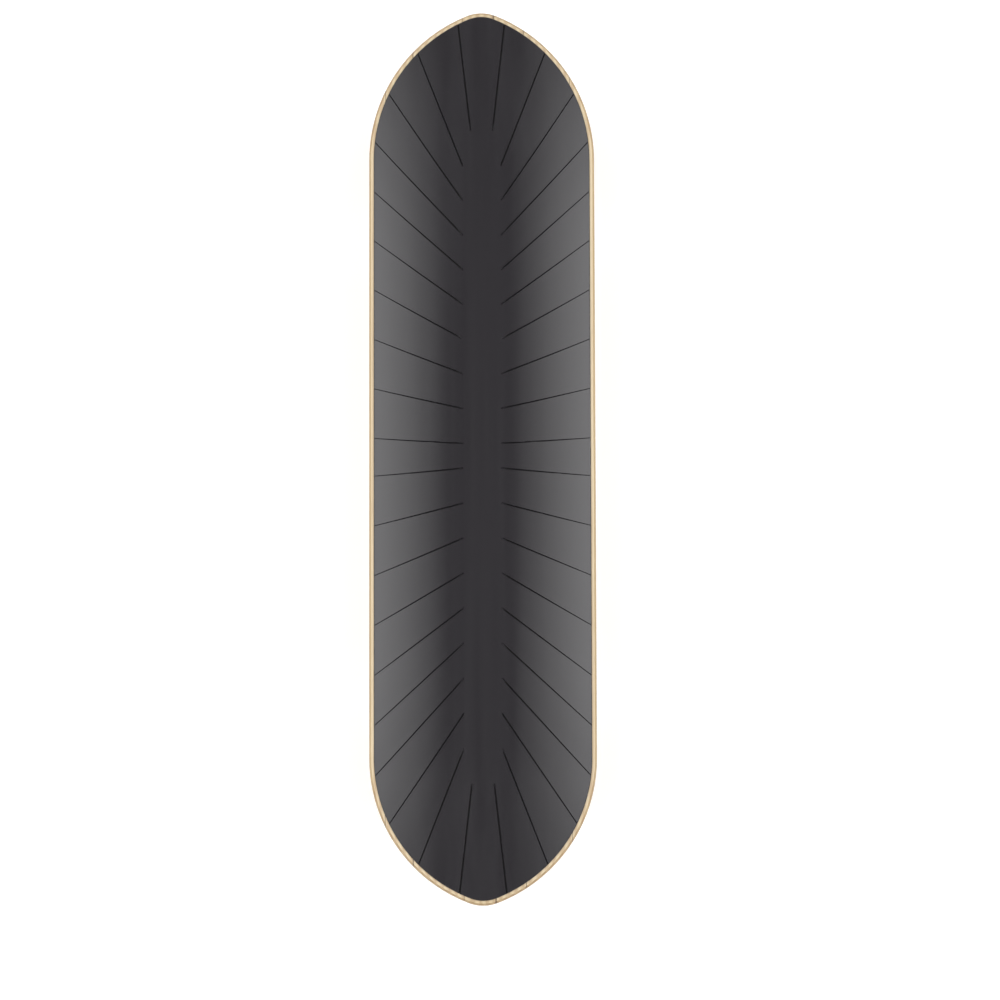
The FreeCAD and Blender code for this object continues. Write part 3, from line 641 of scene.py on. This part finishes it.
def wheels():
    size = {
        "lip": 0.0087, "stop": 0.005, "seat": 0.011, "leadIn": 0.0118, "seatDepth": 0.012,
        "hubEdge": 0.0148, "hubDrop": 0.0003, "ringIn": 0.0176, "ringOut": 0.0184,
        "ringSlope": 0.0003, "ringDepth": 0.0005, "shoulder": 0.006, "crown": 0.0001,
        "steps": 128, "cornerSteps": 10,
    }
    for end in ("front", "rear"):
        for hand in ("left", "right"):
            node = "wheel_%s_%s" % (end, hand)
            low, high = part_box(node)
            center = [(a + b) / 2 for a, b in zip(low, high)]
            radius = (high[2] - low[2]) / 2
            half = (high[1] - low[1]) / 2
            ringFloor = half - size["ringDepth"]
            edge = [
                (size["lip"], size["stop"], 0), (size["seat"], size["stop"], 0),
                (size["seat"], size["seatDepth"], 0.0002),
                (size["leadIn"], size["seatDepth"], 0.0002),
                (size["hubEdge"], half - size["hubDrop"], 0.0007),
                (size["ringIn"], half, 0.0003),
                (size["ringIn"] + size["ringSlope"], ringFloor, 0.0001),
                (size["ringOut"] - size["ringSlope"], ringFloor, 0.0001),
                (size["ringOut"], half, 0.0003),
                (radius - size["crown"], half, size["shoulder"]),
                (radius, 0, 0),
            ]
            mirrored = [(out, -place, rounding) for out, place, rounding in reversed(edge[:-1])]
            bm = turned(edge + mirrored, size["steps"], size["cornerSteps"])
            makePiece(pieceName(node), placed(bm, center, (0, 1, 0)), [node], smoothAngle=40)


def trucks():
    wear = {
        "hanger": (0.0006, 5), "baseplate": (0.0006, 4), "riser": (0.0008, 3),     # grain and rounds
        "nutEdge": 0.0003, "washerEdge": 0.0001,
    }
    for end in ("front", "rear"):
        for part in ("hanger", "baseplate", "riser"):
            softened(part + "_" + end, *wear[part])
        print("castings of the", end, "truck softened")
    axles()
    kingpins()
    bushings()
    for node in ("axle_nuts_front", "axle_nuts_rear", "kingpin_nuts", "deck_screws"):
        machined(node, wear["nutEdge"])
    for node in ("speed_washers_front", "speed_washers_rear"):
        machined(node, wear["washerEdge"])
    print("trucks built")


trucks()
wheels()
print("wheels built")


def studio():
    look = {
        "floor": (0.86, 0.86, 0.86), "glow": 0.37, "world": 0.024, "radiance": 2.45,
        "height": 1.7, "length": 3.6, "floorSize": 14,
        "bands": ((4.6, 10, 0.28), (10, 15, 0.54), (15, 20, 0.76), (20, 50, 1.0)),     # from, to, share
    }
    bm = bmesh.new()
    bmesh.ops.create_grid(bm, x_segments=1, y_segments=1, size=look["floorSize"])
    mesh = bpy.data.meshes.new("floor")
    bm.to_mesh(mesh)
    bm.free()
    floor = bpy.data.objects.new("floor", mesh)
    bpy.context.collection.objects.link(floor)
    finish = Finish("floorPaint")
    speck = finish.noise((30, 30, 30), detail=2.0)
    tone = finish.mix(speck, look["floor"], tuple(c * 0.99 for c in look["floor"]))
    mesh.materials.append(finish.close(Base_Color=tone, Roughness=0.9, Emission_Color=(1, 1, 1, 1),
                                       Emission_Strength=look["glow"]))
    world = bpy.data.worlds.new("studio")
    world.use_nodes = True
    world.node_tree.nodes["Background"].inputs["Color"].default_value = (1, 1, 1, 1)
    world.node_tree.nodes["Background"].inputs["Strength"].default_value = look["world"]
    bpy.context.scene.world = world
    for hand in (1, -1):
        for start, end, share in look["bands"]:     # degrees from upright, seen from the deck
            low = look["height"] * math.tan(math.radians(start))
            high = look["height"] * math.tan(math.radians(end))
            data = bpy.data.lights.new("strip", "AREA")
            data.shape = "RECTANGLE"
            data.size = look["length"]
            data.size_y = high - low
            data.energy = look["radiance"] * share * math.pi * look["length"] * (high - low)
            strip = bpy.data.objects.new("strip", data)
            strip.location = (0, hand * (low + high) / 2, look["height"])
            strip.visible_camera = False
            bpy.context.collection.objects.link(strip)
    bpy.context.scene.view_settings.view_transform = "Standard"


def camera():
    shot = {
        "lens": 150.0, "sensor": 36.0, "span": 0.8975, "aim": (-0.0378, -0.0157),
        "tilt": 5.0, "roll": -0.16,     # degrees
    }
    data = bpy.data.cameras.new("camera")
    data.lens = shot["lens"]
    data.sensor_width = shot["sensor"]
    view = bpy.data.objects.new("camera", data)
    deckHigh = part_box("top_sheet")[0][2]
    distance = shot["span"] * shot["lens"] / shot["sensor"]
    tilt = math.radians(shot["tilt"])       # a little towards the tail
    view.location = (shot["aim"][0] - distance * math.sin(tilt), shot["aim"][1],
                     deckHigh + distance * math.cos(tilt))
    turn = Matrix.Rotation(-math.pi / 2, 3, "Z") @ Matrix.Rotation(tilt, 3, "X")
    turn = turn @ Matrix.Rotation(math.radians(shot["roll"]), 3, "Z")
    view.rotation_euler = turn.to_euler()
    bpy.context.collection.objects.link(view)
    bpy.context.scene.camera = view


studio()
camera()
